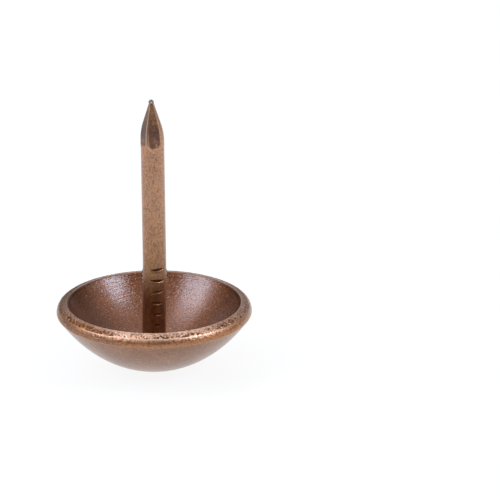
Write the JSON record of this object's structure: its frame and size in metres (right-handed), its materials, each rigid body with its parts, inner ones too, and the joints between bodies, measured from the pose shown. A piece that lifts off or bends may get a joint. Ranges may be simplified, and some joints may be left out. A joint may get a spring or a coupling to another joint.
{
  "type": "upholstery nail",
  "caption": "Upholstery nail with a hollow domed head in antique copper finish and a pointed wire shank welded inside it, for pinning fabric or leather to furniture.",
  "frame": {"origin": "lowest point of the head's crown, on the nail's axis", "axes": "+Z along the shank towards the point, -Y towards one of the two sides that the wire gripper has marked"},
  "size_m": [0.011, 0.011, 0.016],
  "materials": {
    "plated_cap": "stamped sheet steel with satin antique copper plating",
    "plated_wire": "drawn steel wire with antique copper plating",
    "weld_scale": "upset weld metal, plated over dark scale"
  },
  "bodies": {
    "root": {"domed_cap": "plated_cap", "weld_collar": "weld_scale", "wire_shank": "plated_wire"}
  },
  "joints": []
}
